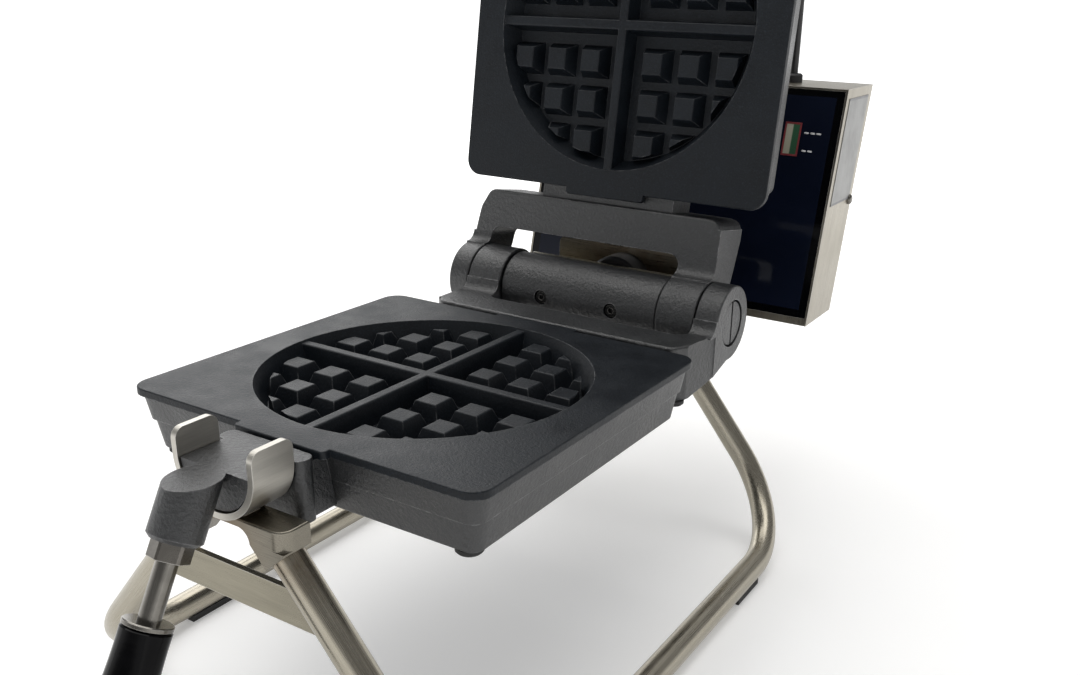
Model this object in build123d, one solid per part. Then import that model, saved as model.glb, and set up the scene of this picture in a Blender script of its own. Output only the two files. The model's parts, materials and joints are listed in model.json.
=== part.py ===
"""Turn-over waffle maker: two hinged irons on a bent tube stand, with a control box behind them.

Lengths are millimetres. Everything is drawn in the irons' own frame: X along the lid hinge, Y from
the front handles to the control box, Z up, and the origin on the parting plane between the irons, at
the centre of the round baking recess. place() then lifts it all so that the origin of the finished
part is on the floor, under the middle of its outline.
"""
from build123d import *

import os
from math import asin, atan2, cos, degrees, dist, hypot, pi, radians, sin, tan

# ---- Placement -------------------------------------------------------------------------------
PARTING_Z = 170.0          # parting plane above the floor
RECESS_Y = -69.4           # recess centre along Y, with the outline centred on the origin

# ---- Joints ----------------------------------------------------------------------------------
HINGE_Y = 177.0            # lid hinge axis, along X on the parting plane
LID_OPEN = 98.9            # opening of the lid in the modelled pose, degrees from closed

# ---- Grid plates -----------------------------------------------------------------------------
RIM_W = 227.0
RIM_D = 212.0
RIM_R = 11.0
RIM_T = 4.0
RIM_TOP = -0.3             # the rims stay this far from the parting plane
TAB_W = 59.0
TAB_L = 4.6
RECESS_R = 92.0
RECESS_DEPTH = 14.0
RECESS_DRAFT = 25.0
CUP_WALL = 4.0
RIB_W = 6.0
RIB_BASE_W = 10.5
RIB_TOP = -1.6
STUD_PITCH = 26.0
STUD_FIRST = 23.0
STUD_TOP_W = 13.4
STUD_BASE_W = 21.4
STUD_TOP = -4.0
STUD_LIMIT_R = 84.8        # studs are cut off here, clear of the sloping wall

# ---- Castings --------------------------------------------------------------------------------
HOUSING_W = 222.5          # outline just under the rim
HOUSING_D = 207.5
HOUSING_R = 10.0
HOUSING_DRAFT = 11.0
SEAM_Z = -19.0             # joint between the casting and its bottom cover
BOTTOM_Z = -36.0
CAST_TOP = -1.5            # lug and bracket faces
CAST_WALL = 4.4
OPENING_W = 206.0
OPENING_D = 193.0
COVER_WALL = 3.0
SCREW_GRIP = 7.0           # depth of the cover screws in the casting
SEAM_STEP = 0.5            # the cover is this much smaller all round
FOOT_R = 6.8
FOOT_H = 3.0

# ---- Hinge -----------------------------------------------------------------------------------
RING_R = 22.5
EAR_R = 24.2
EDGE_R = 1.3               # rounding of ring and barrel ends
PIN_R = 8.0
PIN_GAP = 0.05
BARREL_X = 59.6            # half length of the barrel
INNER_EAR = (60.4, 86.9)
OUTER_EAR = (87.6, 103.4)
CAP_R = 14.2
CAP_SEAT_R = 15.2
CAP_T = 4.0
BRACKET_Y = (114.5, 140.0)
BRACKET_X = (-86.9, 92.0)
SLOT_R = 7.0
BRACKET_END_R = 10.0
BRACKET_TOP_R = 2.0
NECK_X = 50.0
BARREL_SCREW_X = 27.0

# ---- Front lug and handle --------------------------------------------------------------------
LUG_Y = (-123.0, -112.4)
LUG_X = 27.0
JOURNAL_R = 21.7
JOURNAL_FRONT = -147.5
BOSS_R = 12.4
BOSS_Y = -157.5            # where the handle axis meets the parting plane
HANDLE_SLOPE = 61.0        # handle axis below the parting plane, degrees
BOSS_END = 30.0            # distances along the handle axis
NUT_T = 8.0
NUT_AF = 17.0
ROD_R = 5.0
FERRULE_AT = 65.0
FERRULE_T = 2.5
FERRULE_R = 11.2
GRIP_LENGTH = 95.0
GRIP_R = (11.3, 13.6)

# ---- Heating ---------------------------------------------------------------------------------
ELEMENT_R = 3.25
ELEMENT_RING_R = 62.0

# ---- Stand -----------------------------------------------------------------------------------
TUBE_R = 8.0
TUBE_WALL = 1.5
RAIL_X = 135.5
RAIL_Z = -160.0
FRONT_LEG = (-137.4, 27.0)  # Y of the leg, and X of its top
REAR_LEG = (229.5, 34.9)
FOOT_BEND_R = 63.0
CROSSBAR_OVER = 10.7       # reach of a crossbar beyond its leg tops
CROSSBAR_ARCH = 7.0        # rise of the hollow under a crossbar
CROSSBAR_Z = (-35.0, -24.0)
CROSSBAR_D = 16.6
CROSSBAR_END_R = 7.0
SADDLE_R = 22.4
SADDLE_T = 3.2
SADDLE_D = 24.0
SADDLE_EAR_Z = 12.0
BRACE_Z = (-75.0, -56.0)
PAD_Y = (-56.0, 148.0)

# ---- Rear bearing ----------------------------------------------------------------------------
SHAFT_R = 10.0
SHAFT_Y = (190.0, 262.0)
BUSH_R = 13.0
BEARING_R = 21.5
BACK_PLATE_Y = (203.0, 206.0)
BACK_PLATE_X = (-68.0, 57.0)
BACK_PLATE_Z = 16.2
BEARING_PLATE_Y = (223.0, 226.0)
BEARING_PLATE_X = 55.0
BEARING_PLATE_TOP = 27.0   # it stands on the crossbar
BOLT_R = 3.0
BOLT_REACH = 11.0          # length under the head
DUCT_R = 20.0
DUCT_FRONT = 231.0
TRAY_X = 42.0

# ---- Control box -----------------------------------------------------------------------------
BOX_X = 118.6
BOX_Z = (-25.0, 134.5)
BOX_FRONT_Y = (275.0, 314.0)
BOX_REAR_Y = (326.0, 369.0)
BOX_WALL = 1.5
FRAME_SIDE = 1.6
FRAME_BOTTOM = 5.0
GLASS_T = 3.0
GLASS_SET = 0.6
DISPLAY_X = (78.0, 90.0)
DISPLAY_Z = (88.0, 110.5)
LABEL_Z = (56.0, 128.0)
SIDE_SCREW_Z = 55.0
SIDE_SCREW_R = 3.6
LEAD_X = 67.0
LEAD_Y = 345.0
MAINS_AT = (-80.0, 304.0)
MAINS_STEM_R = 7.5
MAINS_BORE_R = 4.3

# ---- Lead to the upper iron ------------------------------------------------------------------
LEAD_R = 2.8
GLAND_H = 6.0
GLAND_STEM = 3.0
GLAND_STEM_R = 5.8
LEAD_POINTS = [(67, 345, 137), (67, 345, 165), (67.2, 343.8, 198), (66.7, 338, 230), (65.5, 325, 256),
               (63, 300, 261), (60, 280, 240), (57, 271, 207), (54, 272, 168), (52, 276, 134),
               (51, 271, 106), (50, 253, 91.3), (50, 231.4, 94.7)]
LID_GLAND = (-50.0, 75.0)  # on the upper iron's cover, in the lower iron's position


# ---- Small helpers ---------------------------------------------------------------------------
def block(x, y, z):
    """A box between two limits on each axis."""
    size = [high - low for low, high in (x, y, z)]
    middle = [(low + high) / 2 for low, high in (x, y, z)]
    return Location(middle) * Box(*size)


def rod(axis, centre, span, radius):
    """A cylinder along Vector axis "X", "Y" or "Z" between two positions on that axis."""
    length = span[1] - span[0]
    middle = (span[0] + span[1]) / 2
    turn = {"X": Rotation(0, 90, 0), "Y": Rotation(90, 0, 0), "Z": Rotation(0, 0, 0)}[axis]
    where = {"X": (middle, *centre), "Y": (centre[0], middle, centre[1]), "Z": (*centre, middle)}[axis]
    return Location(where) * turn * Cylinder(radius, length)


def outline(width, depth, radius, z):
    """A rounded rectangle, level, at height z."""
    return Location((0, 0, z)) * RectangleRounded(width, depth, radius)


def profile_yz(points, x):
    """A closed Y-Z outline drawn out along X between two limits."""
    face = make_face(Polyline(*[(x[0], y, z) for y, z in points], close=True))
    return extrude(face, amount=x[1] - x[0], dir=(1, 0, 0))


def profile_xz(points, y):
    """A closed X-Z outline drawn out along Y between two limits."""
    face = make_face(Polyline(*[(x, y[0], z) for x, z in points], close=True))
    return extrude(face, amount=y[1] - y[0], dir=(0, 1, 0))


def cone(radius, z_top, z_low, draft):
    """A round plug that narrows downwards, for recesses and cups."""
    low = radius - (z_top - z_low) * tan(radians(draft))
    return Location((0, 0, (z_top + z_low) / 2)) * Cone(low, radius, z_top - z_low)


# ---- Grid plate ------------------------------------------------------------------------------
def stud(x, y):
    """A drafted square stud with a flat top."""
    floor = RIM_TOP - RECESS_DEPTH
    base = Location((x, y, floor - 0.5)) * Rectangle(STUD_BASE_W, STUD_BASE_W)
    top = Location((x, y, STUD_TOP)) * Rectangle(STUD_TOP_W, STUD_TOP_W)
    body = loft([base, top])
    return fillet(body.faces().sort_by(Axis.Z)[-1].edges(), 0.9)


def studs():
    """Three by three studs in each quadrant; those that meet the wall are cut off round."""
    limit = rod("Z", (0, 0), (RIM_TOP - RECESS_DEPTH - 1, 0), STUD_LIMIT_R)
    steps = [STUD_FIRST + n * STUD_PITCH for n in range(3)]
    half = STUD_TOP_W / 2
    found = []
    for a in steps:
        for b in steps:
            if hypot(a - half, b - half) < STUD_LIMIT_R:
                found += [stud(sx * a, sy * b) & limit for sx in (-1, 1) for sy in (-1, 1)]
    return found


def rib():
    """Cross divider along X, tapered, reaching into the recess wall."""
    floor = RIM_TOP - RECESS_DEPTH - 0.5
    points = [(-RIB_BASE_W / 2, floor), (RIB_BASE_W / 2, floor), (RIB_W / 2, RIB_TOP), (-RIB_W / 2, RIB_TOP)]
    bar = profile_yz(points, (-RECESS_R - 1, RECESS_R + 1))
    top_edges = bar.edges().filter_by(Axis.X).sort_by(Axis.Z)[-2:]
    return fillet(top_edges, 1.2)


def grid_plate():
    """Flat rim with two tabs, round recess, cross dividers and studs."""
    rim = extrude(outline(RIM_W, RIM_D, RIM_R, RIM_TOP - RIM_T), RIM_T)
    tab_y = RIM_D / 2 + TAB_L
    tabs = extrude(outline(TAB_W, 2 * tab_y, 2.5, RIM_TOP - RIM_T), RIM_T)
    plate = fillet((rim + tabs).faces().sort_by(Axis.Z)[-1].edges(), 0.8)
    low = RIM_TOP - RECESS_DEPTH
    outer = RECESS_R + CUP_WALL - 1
    plate += cone(outer, RIM_TOP - RIM_T, low - CUP_WALL, RECESS_DRAFT - 3)
    hollow = cone(RECESS_R, RIM_TOP, low, RECESS_DRAFT)
    plate -= hollow
    ribs = rib() + Rotation(0, 0, 90) * rib()
    plate += ribs & cone(RECESS_R + 1, RIM_TOP, low - 1, RECESS_DRAFT)
    for piece in studs():
        plate += piece
    return plate


# ---- Casting ---------------------------------------------------------------------------------
def housing_block(z_high, z_low, inset=0.0):
    """Drafted housing between two heights, inset from the outside by a wall."""
    drop = (RIM_TOP - RIM_T - z_high) * tan(radians(HOUSING_DRAFT)) + inset
    face = outline(HOUSING_W - 2 * drop, HOUSING_D - 2 * drop, HOUSING_R - inset * 0.6, z_high)
    return extrude(face, amount=z_high - z_low, dir=(0, 0, -1), taper=HOUSING_DRAFT)


def arm_outline(start):
    """Side view of a hinge arm: level top, and an underside that runs down from the ring."""
    reach = HINGE_Y - 128.0
    tangent = degrees(asin(EAR_R / hypot(reach, BOTTOM_Z))) - degrees(atan2(-BOTTOM_Z, reach))
    touch = (HINGE_Y - EAR_R * sin(radians(-tangent)), -EAR_R * cos(radians(tangent)))
    low = [(128.0, BOTTOM_Z), (start, BOTTOM_Z)]
    if start > 128.0:
        share = (start - 128.0) / (touch[0] - 128.0)
        low = [(start, BOTTOM_Z + share * (touch[1] - BOTTOM_Z))]
    return [(start, CAST_TOP), (HINGE_Y, CAST_TOP), (HINGE_Y, -EAR_R + 2), touch, *low]


def ear(span, start):
    """One hinge ring with its arm from a given Y, and the hollow corner in front of the ring."""
    solid = profile_yz(arm_outline(start), span)
    solid += fillet(rod("X", (HINGE_Y, 0), span, EAR_R).edges().filter_by(GeomType.CIRCLE), EDGE_R)
    front = HINGE_Y - EAR_R
    corner = block(span, (front - 8, front + 3), (CAST_TOP - 1, CAST_TOP + 8))
    solid += corner - rod("X", (front - 8, CAST_TOP + 8), (span[0] - 1, span[1] + 1), 8)
    return solid


def rear_bracket():
    """Cross bar behind the housing, with the slot between it and the hinge barrel."""
    y0, y1 = BRACKET_Y
    x0, x1 = BRACKET_X
    y2 = y0 + 40
    left, right, outside = -INNER_EAR[0], OUTER_EAR[0], OUTER_EAR[1]
    plan = [(x0, y0), (x1, y0), (x1 + 6, y0 + 10.5), (outside, y2), (right, y2), (right, y1),
            (left, y1), (left, y2), (x0, y2)]
    bar = extrude(make_face(Polyline(*[(x, y, BOTTOM_Z) for x, y in plan], close=True)), CAST_TOP - BOTTOM_Z)
    upright = bar.edges().filter_by(Axis.Z)
    right_end = [e for e in upright if abs(e.center().Y - y0) < 0.1 and e.center().X > 0]
    slot = [e for e in upright if abs(e.center().Y - y1) < 0.1]
    bar = fillet(right_end + slot, SLOT_R)
    left_end = [e for e in bar.edges().filter_by(Axis.Z) if dist((e.center().X, e.center().Y), (x0, y0)) < 0.1]
    bar = fillet(left_end, BRACKET_END_R)
    front_face = bar.faces().sort_by(Axis.Y)[0]
    bar = fillet(front_face.edges().filter_by(Axis.X).sort_by(Axis.Z)[-1], BRACKET_TOP_R)
    slope = [(128.0, BOTTOM_Z), (HINGE_Y, BOTTOM_Z), (HINGE_Y, -RING_R)]
    return bar - profile_yz(slope, (x0 - 1, outside + 1))


def handle_plane(distance):
    """Plane across the handle axis at a distance from the parting plane."""
    tilt = radians(HANDLE_SLOPE)
    origin = (0, BOSS_Y - distance * cos(tilt), -distance * sin(tilt))
    return Plane(origin=origin, x_dir=(1, 0, 0), z_dir=(0, -cos(tilt), -sin(tilt)))


def along_handle(start, length, radius):
    """A cylinder on the handle axis."""
    return extrude(handle_plane(start) * Circle(radius), length)


def front_lug():
    """Shoulder, half-round journal for the saddle, and the slanting handle boss."""
    y0, y1 = LUG_Y
    shoulder = extrude(Location((0, (y0 + y1) / 2, BOTTOM_Z + 3)) * RectangleRounded(2 * LUG_X, y1 - y0, 4.5),
                       CAST_TOP - BOTTOM_Z - 3)
    neck = block((-LUG_X + 3, LUG_X - 3), (y1 - 3, -98), (BOTTOM_Z + 3, RIM_TOP - RIM_T - 0.6))
    journal = rod("Y", (0, 0), (JOURNAL_FRONT, y0 + 2), JOURNAL_R)
    boss = along_handle(-25, 25 + BOSS_END, BOSS_R)
    boss = chamfer(boss.edges().sort_by(Axis.Z)[0], 1.8)
    boss -= block((-30, 30), (JOURNAL_FRONT + 6, 0), (-60, 60))
    above = block((-60, 60), (-220, 0), (CAST_TOP, 60))
    lug = shoulder + neck + journal + boss - above
    return lug - along_handle(8, 60, ROD_R)


def casting():
    """Frame round the grid plate with the rear bracket, hinge ears and front lug in one piece."""
    frame = housing_block(RIM_TOP - RIM_T, SEAM_Z)
    frame += block((-NECK_X, NECK_X), (98, BRACKET_Y[0] + 4), (BOTTOM_Z + 5, RIM_TOP - RIM_T - 1))
    frame += rear_bracket()
    frame += ear((-INNER_EAR[1], -INNER_EAR[0]), BRACKET_Y[0] + 6) + ear(OUTER_EAR, BRACKET_Y[0] + 38)
    frame += front_lug()
    frame -= extrude(outline(OPENING_W, OPENING_D, 8, SEAM_Z - 0.01), 30)
    frame -= housing_block(SEAM_Z, BOTTOM_Z - 1)
    for x, y in cover_screw_places():
        to_wall = sorted((x, x + (OPENING_W / 2 + 1 - abs(x)) * x / abs(x)))
        boss = rod("Z", (x, y), (SEAM_Z, -7), 5.0) + block(to_wall, (y - 5, y + 5), (SEAM_Z, -7))
        frame += boss - rod("Z", (x, y), (SEAM_Z - 1, SEAM_Z + SCREW_GRIP), 2.0)
    frame -= rod("X", (HINGE_Y, 0), (-110, 110), PIN_R + PIN_GAP)
    return frame - rod("X", (HINGE_Y, 0), (OUTER_EAR[1] - CAP_T, 110), CAP_SEAT_R)


def bottom_cover():
    """Deep tray that closes the housing from below."""
    cover = housing_block(SEAM_Z, BOTTOM_Z, SEAM_STEP)
    cover = fillet(cover.faces().sort_by(Axis.Z)[0].edges(), 1.5)
    cover -= housing_block(SEAM_Z + 0.01, BOTTOM_Z + COVER_WALL, COVER_WALL)
    for x, y in cover_screw_places():
        cover += rod("Z", (x, y), (BOTTOM_Z + 1, SEAM_Z), 5.0)
        cover -= rod("Z", (x, y), (BOTTOM_Z - 1, SEAM_Z + 1), 2.1)
    return cover


def cover_screw_places():
    """Four screws, two along each side of the cover."""
    return [(sx * 97, sy * 60) for sx in (-1, 1) for sy in (-1, 1)]


def cover_screws():
    """Pan head screws that hold the cover."""
    found = []
    for x, y in cover_screw_places():
        head = rod("Z", (x, y), (BOTTOM_Z - 2.2, BOTTOM_Z), 3.9)
        head = fillet(head.faces().sort_by(Axis.Z)[0].edges(), 1.0)
        head -= block((x - 3, x + 3), (y - 0.5, y + 0.5), (BOTTOM_Z - 3, BOTTOM_Z - 1.2))
        found.append(head + rod("Z", (x, y), (BOTTOM_Z, SEAM_Z + SCREW_GRIP), 2.0))
    return Compound(children=found)


def feet():
    """Round feet: two under the front of the cover, two under the rear bracket."""
    places = [(sx * 96, -90) for sx in (-1, 1)] + [(-78.5, 121.9), (91.4, 121.9)]
    found = []
    for x, y in places:
        foot = rod("Z", (x, y), (BOTTOM_Z - FOOT_H, BOTTOM_Z), FOOT_R)
        found.append(chamfer(foot.faces().sort_by(Axis.Z)[0].edges(), 1.0))
    return Compound(children=found)


def heating_element():
    """Tubular element bent to an open ring, with both ends led to the rear."""
    z = RIM_TOP - RECESS_DEPTH - CUP_WALL - ELEMENT_R - 0.05
    half = 14.0
    y_ring = (ELEMENT_RING_R**2 - half**2) ** 0.5
    ring = ThreePointArc((half, y_ring, z), (0, -ELEMENT_RING_R, z), (-half, y_ring, z))
    found = sweep(Plane(origin=ring @ 0, z_dir=ring % 0) * Circle(ELEMENT_R), ring)
    for side in (-1, 1):
        found += rod("Y", (side * half, z), (y_ring - 2, 90), ELEMENT_R)
    return found


def insulation():
    """Fibre pad between the element and the cover."""
    pad = extrude(outline(182, 172, 12, BOTTOM_Z + COVER_WALL), 6)
    return fillet(pad.faces().sort_by(Axis.Z)[-1].edges(), 1.5)


def thermostat_probe():
    """Temperature probe under the middle of the cup."""
    z = RIM_TOP - RECESS_DEPTH - CUP_WALL - 3.05
    probe = rod("Y", (0, z), (-20, 45), 3.0)
    return probe + rod("Y", (0, z), (45, 80), 1.6)


# ---- Handle ----------------------------------------------------------------------------------
def handle_nut():
    """Hexagon lock nut against the boss."""
    hexagon = RegularPolygon(NUT_AF / 2, 6, major_radius=False, rotation=15)
    nut = extrude(handle_plane(BOSS_END) * hexagon, NUT_T)
    bevel = along_handle(BOSS_END - 1, NUT_T + 2, NUT_AF / 2 + 0.9)
    return (nut & bevel) - along_handle(BOSS_END - 1, NUT_T + 2, ROD_R)


def handle_rod():
    """Steel rod from inside the boss to inside the grip."""
    return along_handle(8, FERRULE_AT + 52, ROD_R)


def handle_ferrule():
    """Bright washer in front of the grip."""
    ring = along_handle(FERRULE_AT, FERRULE_T, FERRULE_R)
    ring = chamfer(ring.edges(), 0.5)
    return ring - along_handle(FERRULE_AT - 1, 10, ROD_R)


def handle_grip():
    """Turned grip, widest towards its free end, with a domed end."""
    slim, wide = GRIP_R
    end = GRIP_LENGTH
    with BuildSketch(Plane.XZ) as half:
        with BuildLine():
            side = Spline((slim, 1.0), (slim + 0.9, 0.35 * end), (wide, 0.75 * end), (wide - 1.4, 0.93 * end))
            tip = Spline(side @ 1, (wide - 6, 0.99 * end), (0, end), tangents=(side % 1, (-1, 0)))
            Polyline(tip @ 1, (0, 0), (slim - 1.0, 0), side @ 0)
        make_face()
    grip = revolve(half.sketch, Axis.Z)
    grip = handle_plane(FERRULE_AT + FERRULE_T).location * grip
    return grip - along_handle(FERRULE_AT, 60, ROD_R)


# ---- Hinge and rotor -------------------------------------------------------------------------
def hinge_barrel():
    """Middle of the hinge, carried by the turning shaft, with seats for its two locking screws."""
    barrel = rod("X", (HINGE_Y, 0), (-BARREL_X, BARREL_X), RING_R)
    barrel = fillet(barrel.edges().filter_by(GeomType.CIRCLE), EDGE_R)
    barrel -= rod("X", (HINGE_Y, 0), (-BARREL_X - 1, BARREL_X + 1), PIN_R)
    front = HINGE_Y - RING_R
    for side in (-1, 1):
        barrel -= rod("Y", (side * BARREL_SCREW_X, 0), (front - 1, front + 6), 4.9)
        barrel -= rod("Y", (side * BARREL_SCREW_X, 0), (front, HINGE_Y - PIN_R + 2), 3.0)
    return barrel - rod("Y", (0, 0), (SHAFT_Y[0], HINGE_Y + RING_R + 1), SHAFT_R)


def barrel_screws():
    """Socket head screws that lock the hinge pin in the barrel."""
    found = []
    seat = HINGE_Y - RING_R + 6
    for side in (-1, 1):
        x = side * BARREL_SCREW_X
        head = chamfer(rod("Y", (x, 0), (seat - 5, seat), 4.4).edges().sort_by(Axis.Y)[0], 0.6)
        socket = Location((x, seat - 5, 0)) * Rotation(90, 0, 0) * RegularPolygon(2.1, 6)
        head -= extrude(socket, 3, both=True)
        shank = rod("Y", (x, 0), (seat, HINGE_Y - PIN_R - 0.2), 3.0)
        found.append(head + shank)
    return Compound(children=found)


def hinge_pin():
    """Steel pin through both irons and the barrel."""
    reach = OUTER_EAR[1] - CAP_T - 0.4
    return chamfer(rod("X", (HINGE_Y, 0), (-reach, reach), PIN_R).edges().filter_by(GeomType.CIRCLE), 0.8)


def pin_end_cap():
    """Slotted cover disc in the right-hand ear."""
    face = OUTER_EAR[1] - 0.5
    disc = rod("X", (HINGE_Y, 0), (OUTER_EAR[1] - CAP_T + 0.05, face), CAP_R)
    disc = fillet(disc.edges().sort_by(Axis.X)[-1], 0.9)
    return disc - block((face - 1.3, face + 1), (HINGE_Y - 1.1, HINGE_Y + 1.1), (-CAP_R, CAP_R))


def rear_shaft():
    """Hollow shaft that carries both irons and turns in the rear bearing."""
    shaft = rod("Y", (0, 0), SHAFT_Y, SHAFT_R)
    collar = rod("Y", (0, 0), (HINGE_Y + RING_R, BACK_PLATE_Y[0]), 16)
    spacer = rod("Y", (0, 0), (BEARING_PLATE_Y[1] + 0.4, DUCT_FRONT), SHAFT_R + 1.2)
    nut = rod("Y", (0, 0), (DUCT_FRONT, DUCT_FRONT + 7), 15)
    return shaft + collar + spacer + nut - rod("Y", (0, 0), (196, 263), 6)


def back_plate():
    """Stainless plate on the shaft collar, just behind the barrel."""
    z = (-BACK_PLATE_Z, BACK_PLATE_Z)
    plate = block(BACK_PLATE_X, BACK_PLATE_Y, z)
    plate = fillet(plate.edges().filter_by(Axis.Y), 3.0)
    return plate - rod("Y", (0, 0), (200, 210), SHAFT_R)


# ---- Stand -----------------------------------------------------------------------------------
def stand_tube(side):
    """One side of the stand: front leg, floor rail and rear leg, bent from one tube."""
    ends = [(side * x, y, z) for x, y, z in (leg_start(FRONT_LEG), leg_start(REAR_LEG))]
    corners = [(side * RAIL_X, y, RAIL_Z) for y, _ in (FRONT_LEG, REAR_LEG)]
    path = FilletPolyline(ends[0], *corners, ends[1], radius=FOOT_BEND_R)
    section = Circle(TUBE_R) - Circle(TUBE_R - TUBE_WALL)
    return sweep(Plane(origin=path @ 0, z_dir=path % 0) * section, path)


def leg_start(leg):
    """Where a leg's tube starts: square to the leg, from the crossbar's lower outer corner."""
    y, x_top = leg
    slope = leg_slope(leg)
    drop = TUBE_R * slope / hypot(1, slope)
    return x_top + drop * slope, y, CROSSBAR_Z[0] - drop


def crossbar(leg):
    """Bar that joins two legs, with rounded front ends and a hollow that runs out into the legs."""
    y, x_top = leg
    half = CROSSBAR_D / 2
    reach = x_top + CROSSBAR_OVER
    bar = block((-reach, reach), (y - half, y + half), CROSSBAR_Z)
    bar = fillet([e for e in bar.edges().filter_by(Axis.Z) if e.center().Y < y], CROSSBAR_END_R)
    bar = fillet(bar.faces().sort_by(Axis.Z)[-1].edges(), 1.0)
    spread = TUBE_R * hypot(1, leg_slope(leg))
    inner = x_top - spread
    start_x, _, start_z = leg_start(leg)
    lowest = (start_x - TUBE_R**2 / spread, 2 * start_z - CROSSBAR_Z[0])
    for side in (-1, 1):
        corners = [(inner, CROSSBAR_Z[0] + 1), (x_top + spread, CROSSBAR_Z[0] + 1),
                   (x_top + spread, CROSSBAR_Z[0]), lowest, (inner, CROSSBAR_Z[0])]
        bar += profile_xz([(side * x, z) for x, z in corners], (y - half, y + half))
    low, high = CROSSBAR_Z[0] - CROSSBAR_ARCH, CROSSBAR_Z[0] + CROSSBAR_ARCH
    hollow = block((-inner, inner), (y - 20, y + 20), (low, high))
    upper = [e for e in hollow.edges().filter_by(Axis.Y) if e.center().Z > high - 0.1]
    return bar - fillet(upper, CROSSBAR_ARCH)


def front_crossbar():
    """Bar between the front legs, hollowed on top for the saddle."""
    y = FRONT_LEG[0]
    return crossbar(FRONT_LEG) - rod("Y", (0, 0), (y - 20, y + 20), SADDLE_R + SADDLE_T)


def rear_crossbar():
    """Bar between the rear legs that the bearing plate stands on."""
    return crossbar(REAR_LEG)


def saddle():
    """Open U strip that the front journal rests in."""
    outer = SADDLE_R + SADDLE_T
    y = (FRONT_LEG[0] - SADDLE_D / 2 + 1, FRONT_LEG[0] + SADDLE_D / 2 + 1)
    strip = rod("Y", (0, 0), y, outer) + block((-outer, outer), y, (0, SADDLE_EAR_Z))
    strip -= rod("Y", (0, 0), (y[0] - 1, y[1] + 1), SADDLE_R)
    strip -= block((-SADDLE_R, SADDLE_R), (y[0] - 1, y[1] + 1), (0, 60))
    strip -= block((-60, 60), (y[0] - 1, y[1] + 1), (SADDLE_EAR_Z, 60))
    tops = [e for e in strip.edges().filter_by(Axis.X) if e.center().Z > SADDLE_EAR_Z - 0.1]
    return fillet(tops, 5.0)


def leg_slope(leg):
    """Outward travel of a leg per unit of height."""
    return (RAIL_X - leg[1]) / (CROSSBAR_Z[0] - RAIL_Z)


def leg_core(side, leg):
    """Solid cylinder the size of a leg, to cut plates round where they meet it."""
    y, x_top = leg
    start = Vector(side * x_top, y, CROSSBAR_Z[0])
    end = Vector(side * RAIL_X, y, RAIL_Z)
    return extrude(Plane(origin=start, z_dir=end - start) * Circle(TUBE_R), (end - start).length)


def brace():
    """Flat strip between the front legs."""
    y, x_top = FRONT_LEG
    ends = [x_top + (CROSSBAR_Z[0] - z) * leg_slope(FRONT_LEG) - TUBE_R for z in BRACE_Z]
    points = [(-ends[0], BRACE_Z[0]), (ends[0], BRACE_Z[0]), (ends[1], BRACE_Z[1]), (-ends[1], BRACE_Z[1])]
    strip = profile_xz(points, (y - 1.5, y + 1.5))
    for side in (-1, 1):
        strip -= leg_core(side, FRONT_LEG)
    return strip


def anti_slip_pads():
    """Rubber pads under the floor rails."""
    found = []
    for side in (-1, 1):
        for y in PAD_Y:
            x = side * RAIL_X
            pad = block((x - 6, x + 6), (y - 16, y + 16), (-PARTING_Z, RAIL_Z - TUBE_R + 2))
            found.append(pad - rod("Y", (x, RAIL_Z), (y - 20, y + 20), TUBE_R))
    return Compound(children=found)


# ---- Rear bearing ----------------------------------------------------------------------------
def bearing_housing():
    """Black round housing in front of the bearing plate."""
    body = rod("Y", (0, 0), (BACK_PLATE_Y[1] + 1, BEARING_PLATE_Y[0]), BEARING_R)
    body = chamfer(body.edges().sort_by(Axis.Y)[0], 1.5)
    return body - rod("Y", (0, 0), (200, 240), BUSH_R) - bolt_holes()


def bearing_bush():
    """Plain bush that the shaft turns in."""
    span = (BACK_PLATE_Y[1] + 1, BEARING_PLATE_Y[1])
    return rod("Y", (0, 0), span, BUSH_R) - rod("Y", (0, 0), (200, 240), SHAFT_R + 0.05)


def bearing_plate():
    """Stainless plate on the rear crossbar that holds the bearing."""
    x = (-BEARING_PLATE_X, BEARING_PLATE_X)
    plate = block(x, BEARING_PLATE_Y, (CROSSBAR_Z[1], BEARING_PLATE_TOP))
    plate = fillet(plate.edges().filter_by(Axis.Y).group_by(Axis.Z)[-1], 6.0)
    return plate - rod("Y", (0, 0), (200, 240), BUSH_R) - bolt_holes()


def plate_bolts():
    """X and Z of the bolts that hold the housing on the bearing plate."""
    return [(-15.5, 8), (15.5, 8)]


def bolt_shank(x, z):
    """Shank of a bearing plate bolt, from the plate's rear face into the housing."""
    rear = BEARING_PLATE_Y[1]
    return rod("Y", (x, z), (rear - BOLT_REACH, rear), BOLT_R)


def bolt_holes():
    """Both shanks, to cut the plate and the housing."""
    return Compound(children=[bolt_shank(*bolt) for bolt in plate_bolts()])


def bearing_plate_bolts():
    """Hexagon bolts behind the bearing plate."""
    found = []
    for x, z in plate_bolts():
        plane = Plane(origin=(x, BEARING_PLATE_Y[1], z), x_dir=(1, 0, 0), z_dir=(0, 1, 0))
        head = extrude(plane * RegularPolygon(5.0, 6, major_radius=False), 4)
        found.append(head + bolt_shank(x, z))
    return Compound(children=found)


def wiring_duct():
    """Round guard over the shaft end and its wires, in front of the control box."""
    duct = rod("Y", (0, 0), (DUCT_FRONT, 300), DUCT_R)
    duct -= rod("Y", (0, 0), (220, 310), DUCT_R - 2)
    return duct - box_prism(0, 0, BOX_X)


def box_tray():
    """Bent sheet tray from the rear crossbar to the underside of the control box."""
    top = BOX_Z[0]
    front = REAR_LEG[0] + CROSSBAR_D / 2
    tray = block((-TRAY_X, TRAY_X), (front, 322), (top - 14, top))
    return tray - block((-TRAY_X + 2, TRAY_X - 2), (front + 2, 330), (top - 20, top - 2))


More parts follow.
